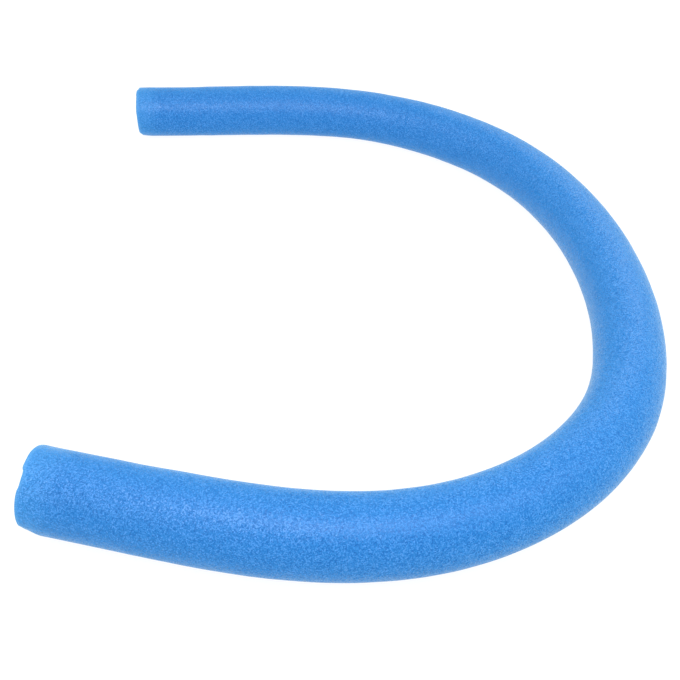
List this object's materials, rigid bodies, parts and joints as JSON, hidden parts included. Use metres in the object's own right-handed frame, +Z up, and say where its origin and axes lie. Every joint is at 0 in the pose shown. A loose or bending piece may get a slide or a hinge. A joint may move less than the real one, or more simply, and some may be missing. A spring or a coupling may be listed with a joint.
{
  "type": "pool noodle",
  "caption": "Blue foam pool noodle lying bent in an open U: one extruded foam tube with a bore right through and square-cut ends.",
  "frame": {"origin": "on the ground, under the middle of the noodle's plan", "axes": "+Z up; +Y from the near arm of the U to the far arm; the U opens towards -X"},
  "size_m": [0.5966, 0.7948, 0.0645],
  "materials": {
    "blue_foam": "closed-cell polyethylene foam with a fine-celled extruded skin, soft, satin to matt"
  },
  "bodies": {
    "root": {"foam_tube": "blue_foam"}
  },
  "joints": []
}
